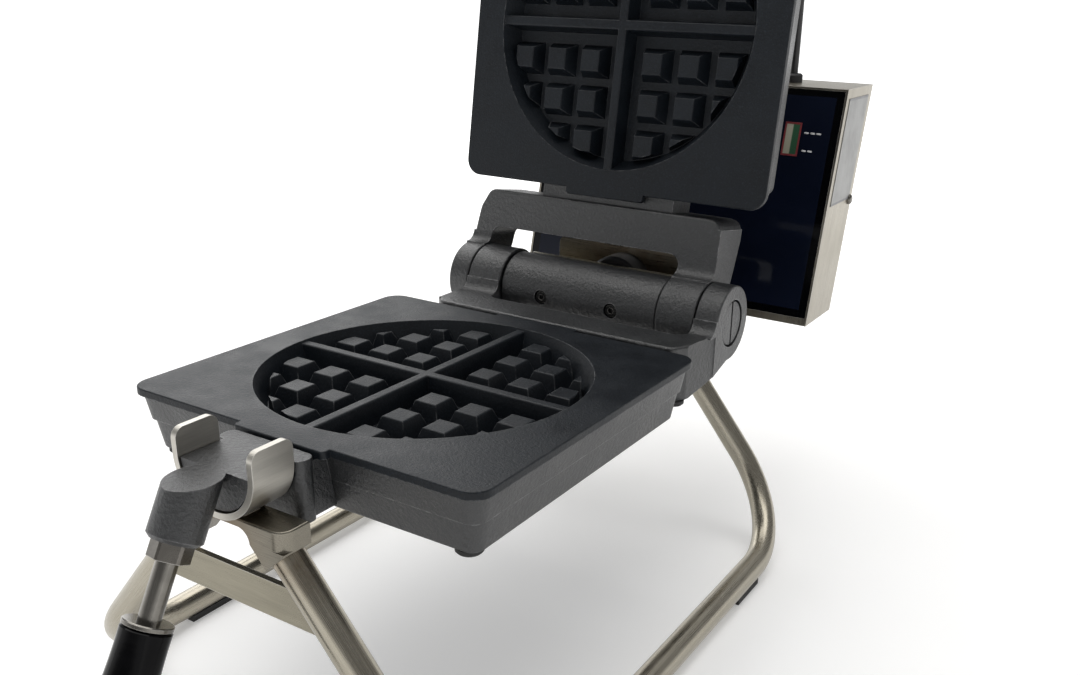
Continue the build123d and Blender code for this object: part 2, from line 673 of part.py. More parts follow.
# ---- Control box -----------------------------------------------------------------------------
def lean(z, y_span):
    """Y on a leaning face of the control box at height z."""
    share = (z - BOX_Z[0]) / (BOX_Z[1] - BOX_Z[0])
    return y_span[0] + share * (y_span[1] - y_span[0])


def box_prism(front_in, rear_in, half_width, z=BOX_Z):
    """Leaning prism, inset from the box's front and rear faces."""
    front = [(lean(h, BOX_FRONT_Y) + front_in, h) for h in z]
    rear = [(lean(h, BOX_REAR_Y) - rear_in, h) for h in z]
    return profile_yz([front[0], front[1], rear[1], rear[0]], (-half_width, half_width))


def front_slab(set_in, thickness, x, z):
    """Slab parallel to the leaning front face."""
    points = [(lean(h, BOX_FRONT_Y) + set_in, h) for h in z]
    back = [(y + thickness, h) for y, h in reversed(points)]
    return profile_yz(points + back, x)


def box_shell():
    """Stainless shell with a thin frame round the glass, open at the back."""
    inner_z = (BOX_Z[0] + BOX_WALL, BOX_Z[1] - BOX_WALL)
    shell = box_prism(0, 0, BOX_X)
    shell -= box_prism(GLASS_SET + GLASS_T, -5, BOX_X - BOX_WALL, inner_z)
    window_z = (BOX_Z[0] + FRAME_BOTTOM, BOX_Z[1] - FRAME_SIDE)
    shell -= front_slab(-2, 12, (-BOX_X + FRAME_SIDE, BOX_X - FRAME_SIDE), window_z)
    shell -= rod("Z", (LEAD_X, LEAD_Y), (BOX_Z[1] - 5, BOX_Z[1] + 5), GLAND_STEM_R)
    shell -= rod("Z", MAINS_AT, (BOX_Z[0] - 1, BOX_Z[0] + BOX_WALL + 1), MAINS_STEM_R)
    return shell - rod("Y", (0, 0), (270, 296), DUCT_R - 4)


def glass_panel():
    """Dark glass front."""
    x = BOX_X - FRAME_SIDE - 0.1
    z = (BOX_Z[0] + FRAME_BOTTOM + 0.1, BOX_Z[1] - FRAME_SIDE - 0.1)
    glass = front_slab(GLASS_SET, GLASS_T, (-x, x), z)
    return glass - rod("Y", (0, 0), (270, 296), DUCT_R - 4)


def indicator_bezel():
    """Red frame of the indicator window."""
    x0, x1 = DISPLAY_X
    z0, z1 = DISPLAY_Z
    bezel = front_slab(GLASS_SET - 0.5, 0.5, DISPLAY_X, DISPLAY_Z)
    return bezel - front_slab(GLASS_SET - 2, 4, (x0 + 1.2, x1 - 1.2), (z0 + 1.2, z1 - 1.2))


def indicator_window():
    """Pale window inside the bezel."""
    x0, x1 = DISPLAY_X
    z0, z1 = DISPLAY_Z
    return front_slab(GLASS_SET - 0.3, 0.3, (x0 + 1.25, x1 - 1.25), (z0 + 1.25, z1 - 1.25))


def back_cover():
    """Flat cover let into the open back of the shell."""
    z = (BOX_Z[0] + BOX_WALL + 0.1, BOX_Z[1] - BOX_WALL - 0.1)
    x = BOX_X - BOX_WALL - 0.1
    bottom, top = [(lean(h, BOX_REAR_Y), h) for h in z]
    points = [(bottom[0] - BOX_WALL, bottom[1]), bottom, top, (top[0] - BOX_WALL, top[1])]
    return profile_yz(points, (-x, x))


def rating_label():
    """Blank silver label on the right side of the box."""
    front = [(lean(z, BOX_FRONT_Y) + 6, z) for z in LABEL_Z]
    rear = [(lean(z, BOX_REAR_Y) - 7, z) for z in LABEL_Z]
    label = profile_yz([front[0], front[1], rear[1], rear[0]], (BOX_X, BOX_X + 0.4))
    return label - rod("X", side_screw_place(), (BOX_X - 1, BOX_X + 1), SIDE_SCREW_R + 0.5)


def side_screw_place():
    """Y and Z of the screw in each side of the box."""
    return lean(SIDE_SCREW_Z, BOX_REAR_Y) - 5, SIDE_SCREW_Z


def box_side_screws():
    """Dome head screws, one in each side near the rear edge."""
    found = []
    for side in (-1, 1):
        x = sorted((side * BOX_X, side * (BOX_X + 2.2)))
        head = rod("X", side_screw_place(), x, SIDE_SCREW_R)
        outer = head.edges().filter_by(GeomType.CIRCLE).sort_by(Axis.X)[-1 if side > 0 else 0]
        found.append(fillet(outer, 1.8))
    return Compound(children=found)


def circuit_board():
    """Control board inside the box."""
    return block((-85, 85), (320, 321.6), (8, 106))


def board_parts():
    """Three relays and a terminal block on the board."""
    relays = [block((x - 8, x + 8), (321.6, 336), (62, 78)) for x in (-40, -15, 10)]
    return Compound(children=relays + [block((-60, 40), (321.6, 331), (16, 30))])


def board_posts():
    """Four posts between the board and the back cover."""
    found = []
    for x in (-80, 80):
        for z in (14, 100):
            end = lean(z, BOX_REAR_Y) - BOX_WALL - 2
            found.append(rod("Y", (x, z), (321.6, end), 3.0))
    return Compound(children=found)


def gland(base_z, at, stem_r, bore_r):
    """Cable gland that stands on a level face, with its stem through the sheet."""
    body_r = stem_r + 0.7
    body = rod("Z", at, (base_z, base_z + GLAND_H), body_r)
    body = chamfer(body.faces().sort_by(Axis.Z)[-1].edges(), 1.2)
    body += rod("Z", at, (base_z - GLAND_STEM, base_z), stem_r)
    return body - rod("Z", at, (base_z - GLAND_STEM - 1, base_z + GLAND_H + 1), bore_r)


def lead_gland(base_z, at):
    """Gland that grips the lead to the upper iron."""
    return gland(base_z, at, GLAND_STEM_R, LEAD_R + 0.05)


def mains_gland():
    """Gland for the mains cord, under the box."""
    x, y = MAINS_AT
    return Rotation(180, 0, 0) * gland(-BOX_Z[0], (x, -y), MAINS_STEM_R, MAINS_BORE_R)


# ---- Lead ------------------------------------------------------------------------------------
def bend_radii(points):
    """Arc radius at each inner point, from its shorter run and its turn."""
    radii = []
    for before, here, after in zip(points, points[1:], points[2:]):
        first = Vector(here) - Vector(before)
        second = Vector(after) - Vector(here)
        turn = radians(first.get_angle(second))
        shorter = min(first.length, second.length)
        radii.append(0.45 * shorter / tan(turn / 2) if turn > 1e-3 else 400.0)
    return [min(radius, 400.0) for radius in radii]


def upper_lead():
    """Round lead from the control box to the back of the upper iron."""
    radii = bend_radii(LEAD_POINTS)
    path = FilletPolyline(*LEAD_POINTS, radius=radii)
    lead = sweep(Plane(origin=path @ 0, z_dir=path % 0) * Circle(LEAD_R), path)
    print("lead radii", [round(radius, 1) for radius in radii], "length", round(path.length, 1))
    print("lead volume", round(lead.volume, 1), "section times length",
          round(pi * LEAD_R**2 * path.length, 1))
    return lead


# ---- Whole part ------------------------------------------------------------------------------
def iron_pieces():
    """Pieces that both irons have, in the closed lower position."""
    return {
        "casting": casting(), "grid_plate": grid_plate(), "bottom_cover": bottom_cover(),
        "cover_screws": cover_screws(), "feet": feet(), "heating_element": heating_element(),
        "insulation_pad": insulation(), "thermostat_probe": thermostat_probe(),
        "handle_nut": handle_nut(), "handle_rod": handle_rod(), "handle_ferrule": handle_ferrule(),
        "handle_grip": handle_grip(), "pin_end_cap": pin_end_cap(),
    }


def lift_to_lid(shape):
    """Turn a lower iron piece over to the upper iron, then open the lid."""
    over = shape.rotate(Axis.Y, 180)
    return over.rotate(Axis((0, HINGE_Y, 0), (1, 0, 0)), -LID_OPEN)


def lid_gland():
    """Cable gland under the cover, before the iron is turned over."""
    x, y = LID_GLAND
    return Rotation(180, 0, 0) * lead_gland(-BOTTOM_Z, (x, -y))


def lid_cover():
    """Bottom cover with the hole for the lead."""
    return bottom_cover() - rod("Z", LID_GLAND, (BOTTOM_Z - 1, BOTTOM_Z + COVER_WALL + 1), GLAND_STEM_R)


def build():
    """Every node of the part, in the irons' frame."""
    nodes = {
        "stand_tube_left": stand_tube(-1), "stand_tube_right": stand_tube(1),
        "front_crossbar": front_crossbar(), "rear_crossbar": rear_crossbar(),
        "saddle": saddle(), "front_brace": brace(), "anti_slip_pads": anti_slip_pads(),
        "bearing_housing": bearing_housing(), "bearing_bush": bearing_bush(),
        "bearing_plate": bearing_plate(), "bearing_plate_bolts": bearing_plate_bolts(),
        "wiring_duct": wiring_duct(), "box_tray": box_tray(), "box_shell": box_shell(),
        "glass_panel": glass_panel(), "indicator_bezel": indicator_bezel(),
        "indicator_window": indicator_window(), "back_cover": back_cover(),
        "mains_gland": mains_gland(), "rating_label": rating_label(),
        "box_side_screws": box_side_screws(), "circuit_board": circuit_board(),
        "board_parts": board_parts(), "board_posts": board_posts(),
        "box_lead_gland": lead_gland(BOX_Z[1], (LEAD_X, LEAD_Y)), "upper_lead": upper_lead(),
        "hinge_barrel": hinge_barrel(), "barrel_screws": barrel_screws(), "hinge_pin": hinge_pin(),
        "rear_shaft": rear_shaft(), "back_plate": back_plate(),
    }
    for name, shape in iron_pieces().items():
        nodes["lower_" + name] = shape
        nodes["upper_" + name] = lift_to_lid(shape)
    nodes["upper_bottom_cover"] = lift_to_lid(lid_cover())
    nodes["upper_lead_gland"] = lift_to_lid(lid_gland())
    return nodes


def place(shape):
    """From the irons' frame to the part's frame."""
    return shape.moved(Location((0, RECESS_Y, PARTING_Z)))


def main():
    os.makedirs("parts", exist_ok=True)
    for name, shape in build().items():
        export_step(place(shape), os.path.join("parts", name + ".step"))


main()
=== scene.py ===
"""Looks for the turn-over waffle maker: materials, small trim, stage, lights and camera."""

import json
import math

import bmesh
import bpy
from mathutils import Matrix, Vector


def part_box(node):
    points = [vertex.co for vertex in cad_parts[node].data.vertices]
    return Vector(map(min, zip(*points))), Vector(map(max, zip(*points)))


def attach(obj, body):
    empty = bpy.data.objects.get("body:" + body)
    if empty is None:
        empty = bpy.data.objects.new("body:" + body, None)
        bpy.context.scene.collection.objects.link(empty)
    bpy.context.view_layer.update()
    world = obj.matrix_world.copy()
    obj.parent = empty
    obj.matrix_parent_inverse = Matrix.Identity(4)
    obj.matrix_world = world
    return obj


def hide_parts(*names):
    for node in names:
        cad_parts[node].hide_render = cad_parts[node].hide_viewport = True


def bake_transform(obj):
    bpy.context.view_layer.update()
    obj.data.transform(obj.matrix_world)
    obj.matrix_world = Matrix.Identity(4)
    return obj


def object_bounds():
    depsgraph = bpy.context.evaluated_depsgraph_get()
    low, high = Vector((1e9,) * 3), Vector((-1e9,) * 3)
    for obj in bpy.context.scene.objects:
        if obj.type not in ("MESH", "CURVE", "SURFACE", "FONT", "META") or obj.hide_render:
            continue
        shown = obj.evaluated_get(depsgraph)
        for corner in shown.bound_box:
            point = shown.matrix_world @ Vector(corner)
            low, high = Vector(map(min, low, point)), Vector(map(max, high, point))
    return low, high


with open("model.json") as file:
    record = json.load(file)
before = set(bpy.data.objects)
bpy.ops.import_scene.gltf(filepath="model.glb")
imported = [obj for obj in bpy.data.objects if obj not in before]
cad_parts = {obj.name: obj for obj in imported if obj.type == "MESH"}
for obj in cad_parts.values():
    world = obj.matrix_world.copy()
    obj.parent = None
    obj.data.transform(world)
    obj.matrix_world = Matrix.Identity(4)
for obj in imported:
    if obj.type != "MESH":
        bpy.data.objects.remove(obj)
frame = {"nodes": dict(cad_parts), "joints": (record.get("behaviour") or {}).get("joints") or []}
CAD_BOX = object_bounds()
NODES = frame["nodes"]
MM = 0.001

# ---- Places taken from the frame -------------------------------------------------------------
LID = next(joint for joint in frame["joints"] if joint["name"] == "lid")
HINGE = Vector(LID["pos_m"])
LID_OPEN = math.radians(LID["range_deg"][1])
HANDLE_SLOPE = math.radians(61.0)
BOX_LEAN = 39.0 * MM           # how far back the control box's front leans, bottom to top

# ---- Camera and light ------------------------------------------------------------------------
CAMERA_AT = Vector((0.349, -0.4925, 0.3715))
CAMERA_RIGHT = Vector((0.8461, 0.5327, 0.0187))
CAMERA_DOWN = Vector((0.2057, -0.2940, -0.9334))
LENS_MM = 35.26
SHIFT = (-0.0197, 0.0439)
LEFT_REAR = (-0.62, 0.55, 0.56)
HORIZON = 1.05                 # strength of the surroundings near the horizon
CEILING = (0.24, 0.52)         # strength of the upper surroundings, away from and towards LEFT_REAR
FLOOR_GLOW = (0.26, 1.0)       # glow of the floor, near and far


# ---- The lead's route, from the control box's gland to the upper iron's -----------------------
LEAD_ROUTE = [
    (0.067, 0.2756, 0.307), (0.067, 0.2756, 0.335), (0.0672, 0.2744, 0.368), (0.0667, 0.2686, 0.400),
    (0.0655, 0.2556, 0.426), (0.063, 0.2306, 0.431), (0.060, 0.2106, 0.410), (0.057, 0.2016, 0.377),
    (0.054, 0.2026, 0.338), (0.052, 0.2066, 0.304), (0.051, 0.2016, 0.276), (0.050, 0.1836, 0.2613),
    (0.050, 0.1620, 0.2647),
]
LEAD_D = 5.6 * MM


# ---- Node builders ---------------------------------------------------------------------------
class Nodes:
    """Short calls that add nodes to one tree."""

    def __init__(self, tree):
        self.tree = tree

    def node(self, kind, **settings):
        made = self.tree.nodes.new(kind)
        for key, value in settings.items():
            setattr(made, key, value)
        return made

    def feed(self, value, socket):
        """Link an output, or set a plain value."""
        if isinstance(value, bpy.types.NodeSocket):
            self.tree.links.new(value, socket)
        elif socket.type == "RGBA" and len(value) == 3:
            socket.default_value = (*value, 1.0)
        else:
            socket.default_value = value

    def math(self, operation, a, b=0.0, clamp=False):
        made = self.node("ShaderNodeMath", operation=operation, use_clamp=clamp)
        self.feed(a, made.inputs[0])
        self.feed(b, made.inputs[1])
        return made.outputs[0]

    def dot(self, vector, direction):
        made = self.node("ShaderNodeVectorMath", operation="DOT_PRODUCT")
        self.feed(vector, made.inputs[0])
        self.feed(direction, made.inputs[1])
        return made.outputs["Value"]

    def stretched(self, along, stretch):
        """Coordinates squeezed across a direction, for brushed and drawn surfaces."""
        axis = Vector(along).normalized()
        side = axis.orthogonal().normalized()
        third = axis.cross(side)
        join = self.node("ShaderNodeCombineXYZ")
        for socket, direction, scale in zip(join.inputs, (axis, side, third), (1 / stretch, 1.0, 1.0)):
            self.feed(self.math("MULTIPLY", self.dot(self.place, direction), scale), socket)
        return join.outputs[0]

    def noise(self, size, detail=3.0, roughness=0.55, at=None):
        """Noise with features of about the given size in metres."""
        made = self.node("ShaderNodeTexNoise")
        self.feed(at if at is not None else self.place, made.inputs["Vector"])
        made.inputs["Scale"].default_value = 1.0 / size
        made.inputs["Detail"].default_value = detail
        made.inputs["Roughness"].default_value = roughness
        return made.outputs["Fac"]

    def cells(self, size, at=None):
        made = self.node("ShaderNodeTexVoronoi")
        self.feed(at if at is not None else self.place, made.inputs["Vector"])
        made.inputs["Scale"].default_value = 1.0 / size
        return made.outputs["Distance"]

    def span(self, value, low, high, to_low=0.0, to_high=1.0):
        made = self.node("ShaderNodeMapRange", interpolation_type="SMOOTHSTEP")
        for socket, number in zip(made.inputs, (value, low, high, to_low, to_high)):
            self.feed(number, socket)
        return made.outputs[0]

    def mix(self, share, a, b):
        made = self.node("ShaderNodeMix", data_type="RGBA")
        self.feed(share, made.inputs[0])
        self.feed(a, made.inputs[6])
        self.feed(b, made.inputs[7])
        return made.outputs[2]


class Paint(Nodes):
    """Builds one node material around a Principled shader."""

    def __init__(self, name, metallic=0.0, **sockets):
        self.material = bpy.data.materials.new(name)
        self.material.use_nodes = True
        super().__init__(self.material.node_tree)
        self.shader = self.tree.nodes["Principled BSDF"]
        self.shader.inputs["Metallic"].default_value = metallic
        for label, value in sockets.items():
            self.shader.inputs[label.replace("_", " ")].default_value = value
        self.place = self.node("ShaderNodeTexCoord").outputs["Object"]
        self.normal = None

    def rounded(self, radius):
        """Start the normals from slightly rounded edges."""
        made = self.node("ShaderNodeBevel", samples=6)
        made.inputs["Radius"].default_value = radius
        self.normal = made.outputs[0]
        return made.outputs[0]

    def edges(self, radius, gain=1.0):
        """A mask of outer edges, where coating wears and light catches."""
        bevel = self.node("ShaderNodeBevel", samples=6)
        bevel.inputs["Radius"].default_value = radius
        flat = self.node("ShaderNodeNewGeometry").outputs["Normal"]
        turn = self.math("SUBTRACT", 1.0, self.dot(bevel.outputs[0], flat))
        open_air = self.node("ShaderNodeAmbientOcclusion", samples=6)
        open_air.inputs["Distance"].default_value = radius * 4
        outer = self.span(open_air.outputs["AO"], 0.55, 0.95)
        edge = self.span(turn, 0.01, 0.16)
        return self.math("MULTIPLY", self.math("MULTIPLY", edge, outer), gain, clamp=True)

    def bump(self, height, distance, strength=1.0):
        made = self.node("ShaderNodeBump")
        made.inputs["Strength"].default_value = strength
        made.inputs["Distance"].default_value = distance
        self.feed(height, made.inputs["Height"])
        if self.normal is not None:
            self.feed(self.normal, made.inputs["Normal"])
        self.normal = made.outputs[0]

    def done(self, color, roughness):
        self.feed(color, self.shader.inputs["Base Color"])
        self.feed(roughness, self.shader.inputs["Roughness"])
        if self.normal is not None:
            self.feed(self.normal, self.shader.inputs["Normal"])
        return self.material


# ---- Materials -------------------------------------------------------------------------------
def cast_coating(name, dark, light, grain=0.9 * MM, depth=0.10 * MM, rough=(0.40, 0.58),
                 wear_and_highlight=(0.16, 0.16, 0.165), gloss=0.4):
    """Satin coating over a sand casting: speckled, with a lighter edge colour that is wear mixed with a
    painted highlight.
    """
    p = Paint(name, Specular_IOR_Level=gloss)
    p.rounded(0.5 * MM)
    cloud = p.noise(28 * MM, 4.0)
    fine = p.noise(grain, 4.0, 0.7)
    pits = p.cells(grain * 1.7)
    edge = p.edges(1.3 * MM, 0.95)
    scuff_and_highlight_patches = p.span(p.noise(5 * MM, 5.0, 0.7), 0.40, 0.66)
    color = p.mix(p.span(cloud, 0.3, 0.7), dark, light)
    color = p.mix(p.span(fine, 0.50, 0.72, 0.0, 0.75), color, tuple(2.4 * c for c in light))
    # Outer edges, in patches, take a lighter colour: wear mixed with a painted highlight.
    color = p.mix(p.math("MULTIPLY", edge, scuff_and_highlight_patches), color, wear_and_highlight)
    p.bump(p.math("ADD", fine, p.math("MULTIPLY", pits, 0.35)), depth, 0.9)
    mottle = p.math("ADD", cloud, p.math("MULTIPLY", fine, 0.5))
    roughness = p.math("SUBTRACT", p.span(mottle, 0.5, 0.95, *rough), p.math("MULTIPLY", edge, 0.10))
    return p.done(color, roughness)


def stainless(name, along, tint=(0.43, 0.41, 0.375), rough=(0.24, 0.40), grain=0.35 * MM):
    """Brushed stainless steel with its grain along one direction."""
    p = Paint(name, metallic=1.0)
    p.rounded(0.3 * MM)
    lines = p.noise(grain, 3.0, 0.6, p.stretched(along, 60.0))
    wide = p.noise(5 * MM, 3.0, 0.5, p.stretched(along, 9.0))
    smear = p.noise(45 * MM, 3.0)
    edge = p.edges(0.8 * MM, 0.8)
    color = p.mix(p.span(wide, 0.3, 0.7), tuple(0.86 * c for c in tint), tint)
    color = p.mix(p.span(lines, 0.35, 0.75, 0.0, 0.45), color, tuple(min(1.0, 1.3 * c) for c in tint))
    # Outer edges are painted lighter: a painted highlight.
    color = p.mix(edge, color, (0.66, 0.64, 0.60))
    p.bump(lines, 0.02 * MM, 0.5)
    roughness = p.span(p.math("ADD", lines, p.math("MULTIPLY", smear, 0.8)), 0.6, 1.2, *rough)
    return p.done(color, roughness)


def tube_steel(name, side):
    """Satin tube: the grain follows the legs on the slopes and the rail along the floor."""
    p = Paint(name, metallic=1.0)
    tint = (0.38, 0.35, 0.285)
    rail_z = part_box("stand_tube_right")[0][2]
    level = p.dot(p.place, (0, 0, 1))
    on_leg = p.span(level, rail_z + 16 * MM, rail_z + 34 * MM)
    rail = p.noise(0.5 * MM, 3.0, 0.6, p.stretched((0, 1, 0), 50.0))
    leg = p.noise(0.5 * MM, 3.0, 0.6, p.stretched((side * 0.658, 0, -0.753), 50.0))
    made = p.node("ShaderNodeMix", data_type="FLOAT")
    p.feed(on_leg, made.inputs[0])
    p.feed(rail, made.inputs[2])
    p.feed(leg, made.inputs[3])
    lines = made.outputs[0]
    smear = p.noise(60 * MM, 2.0)
    color = p.mix(p.span(smear, 0.3, 0.75), tuple(0.92 * c for c in tint), tint)
    color = p.mix(p.span(lines, 0.4, 0.75, 0.0, 0.4), color, (0.52, 0.49, 0.43))
    top_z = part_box("stand_tube_right")[1][2]
    heat = p.math("MULTIPLY", p.span(level, top_z - 26 * MM, top_z - 4 * MM), p.noise(6 * MM, 3.0))
    color = p.mix(p.math("MULTIPLY", heat, 0.9, clamp=True), color, (0.20, 0.15, 0.10))
    p.bump(lines, 0.02 * MM, 0.45)
    return p.done(color, p.span(p.math("ADD", lines, smear), 0.7, 1.3, 0.22, 0.38))


def heat_steel(name, along, centre, reach):
    """Stainless with straw and brown heat tint near a hot spot."""
    p = Paint(name, metallic=1.0)
    p.rounded(0.3 * MM)
    lines = p.noise(0.35 * MM, 3.0, 0.6, p.stretched(along, 50.0))
    distance = p.node("ShaderNodeVectorMath", operation="DISTANCE")
    p.feed(p.place, distance.inputs[0])
    p.feed(centre, distance.inputs[1])
    hot = p.span(distance.outputs["Value"], reach[1], reach[0])
    hot = p.math("MULTIPLY", hot, p.span(p.noise(12 * MM, 4.0), 0.25, 0.65, 0.5, 1.0))
    color = p.mix(p.span(lines, 0.3, 0.7), (0.19, 0.175, 0.145), (0.28, 0.26, 0.215))
    color = p.mix(hot, color, (0.17, 0.135, 0.095))
    p.bump(lines, 0.02 * MM, 0.5)
    return p.done(color, p.span(lines, 0.3, 0.7, 0.26, 0.40))


def drawn_steel(name, along, tint, rough):
    """Machined or polished bar with fine lines along its length."""
    p = Paint(name, metallic=1.0)
    p.rounded(0.25 * MM)
    lines = p.noise(0.30 * MM, 3.0, 0.6, p.stretched(along, 80.0))
    stain = p.noise(7 * MM, 4.0)
    color = p.mix(p.span(stain, 0.35, 0.7), tint, tuple(0.80 * c for c in tint))
    # Outer edges are painted lighter: a painted highlight.
    color = p.mix(p.edges(0.6 * MM, 0.9), color, (0.62, 0.60, 0.57))
    p.bump(lines, 0.015 * MM, 0.5)
    return p.done(color, p.span(p.math("ADD", lines, p.math("MULTIPLY", stain, 0.6)), 0.5, 1.1, *rough))


def black_gloss(name):
    """Hard glossy grip with a faint moulded ripple and fine handling marks."""
    p = Paint(name, Specular_IOR_Level=0.10)
    ripple = p.noise(6 * MM, 3.0)
    marks = p.noise(0.5 * MM, 4.0, 0.7, p.stretched((0, 0.485, 0.875), 10.0))
    p.bump(ripple, 0.05 * MM, 0.4)
    color = p.mix(p.span(ripple, 0.3, 0.7), (0.0012, 0.0012, 0.0016), (0.0024, 0.0024, 0.0030))
    return p.done(color, p.span(marks, 0.3, 0.8, 0.07, 0.18))


def moulded(name, color, rough=(0.45, 0.65), grain=0.6 * MM, depth=0.04 * MM):
    """Moulded plastic or rubber with fine grain."""
    p = Paint(name)
    p.rounded(0.35 * MM)
    fine = p.noise(grain, 4.0, 0.65)
    cloud = p.noise(14 * MM, 3.0)
    dark = tuple(0.75 * c for c in color)
    light = tuple(min(1.0, 1.2 * c) for c in color)
    tone = p.mix(p.span(cloud, 0.3, 0.7), dark, light)
    # Outer edges are painted lighter: a painted highlight.
    tone = p.mix(p.edges(0.8 * MM, 0.35), tone, tuple(min(1.0, 2.2 * c + 0.01) for c in color))
    p.bump(fine, depth, 0.6)
    return p.done(tone, p.span(p.math("ADD", fine, cloud), 0.7, 1.3, *rough))


def dark_glass(name):
    """Nearly black blue glass with a black printed border and faint wipe marks."""
    p = Paint(name, Specular_IOR_Level=0.22)
    wipe = p.noise(9 * MM, 5.0, 0.6, p.stretched((1, 0, 0.4), 3.0))
    cloud = p.noise(70 * MM, 2.0)
    color = p.mix(p.span(cloud, 0.3, 0.7), (0.0030, 0.0050, 0.0125), (0.0048, 0.0072, 0.0180))
    low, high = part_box("glass_panel")
    across = p.math("ABSOLUTE", p.dot(p.place, (1, 0, 0)))
    up = p.dot(p.place, (0, 0, 1))
    frame_x = p.span(across, high.x - 6.0 * MM, high.x - 5.2 * MM)
    frame_z = p.math("MAXIMUM", p.span(up, high.z - 4.6 * MM, high.z - 3.8 * MM),
                     p.span(up, low.z + 5.6 * MM, low.z + 4.8 * MM))
    color = p.mix(p.math("MAXIMUM", frame_x, frame_z), color, (0.0008, 0.0009, 0.0014))
    return p.done(color, p.span(wipe, 0.35, 0.75, 0.05, 0.15))


def lit_window(name):
    """Indicator window: cream on the left half, green on the right half."""
    low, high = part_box("indicator_window")
    p = Paint(name, Coat_Weight=0.4)
    across = p.dot(p.place, (1, 0, 0))
    middle = (low[0] + high[0]) / 2
    share = p.span(across, middle - 0.4 * MM, middle + 0.4 * MM)
    up = p.dot(p.place, (0, 0, 1))
    # Painted shade: the window's colour is darker towards its bottom and lighter at its top.
    shade = p.span(up, low[2], high[2], 0.55, 1.0)
    ribs = p.math("SINE", p.math("MULTIPLY", up, 3200.0))
    cream = p.mix(shade, (0.22, 0.22, 0.16), (0.40, 0.39, 0.31))
    green = p.mix(shade, (0.015, 0.045, 0.025), (0.03, 0.10, 0.05))
    p.bump(ribs, 0.05 * MM, 0.4)
    return p.done(p.mix(share, cream, green), 0.28)


def foil(name):
    """Blank silver label with a faint grain."""
    p = Paint(name, metallic=0.2)
    grain = p.noise(0.5 * MM, 3.0, 0.6, p.stretched((0, 0, 1), 20.0))
    cloud = p.noise(22 * MM, 3.0)
    color = p.mix(p.span(cloud, 0.3, 0.7), (0.23, 0.23, 0.225), (0.30, 0.30, 0.295))
    low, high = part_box("rating_label")
    up = p.dot(p.place, (0, 0, 1))
    rim = p.math("MAXIMUM", p.span(up, high.z - 1.8 * MM, high.z - 1.4 * MM),
                 p.span(up, low.z + 1.8 * MM, low.z + 1.4 * MM))
    color = p.mix(rim, color, (0.17, 0.17, 0.175))
    p.bump(grain, 0.02 * MM, 0.4)
    return p.done(color, p.span(grain, 0.3, 0.7, 0.32, 0.46))


def fibre(name):
    """Felted mineral fibre."""
    p = Paint(name)
    strands = p.noise(0.8 * MM, 6.0, 0.8, p.stretched((1, 0.3, 0), 5.0))
    p.bump(strands, 0.5 * MM, 0.9)
    color = p.mix(p.span(strands, 0.3, 0.7), (0.62, 0.59, 0.52), (0.85, 0.83, 0.77))
    return p.done(color, 0.92)


def handle_axis(upper):
    """Direction of a handle, outwards, at rest."""
    down = Vector((0, -math.cos(HANDLE_SLOPE), -math.sin(HANDLE_SLOPE)))
    if not upper:
        return down
    over = Vector((0, down.y, -down.z))
    return Matrix.Rotation(-LID_OPEN, 3, "X") @ over


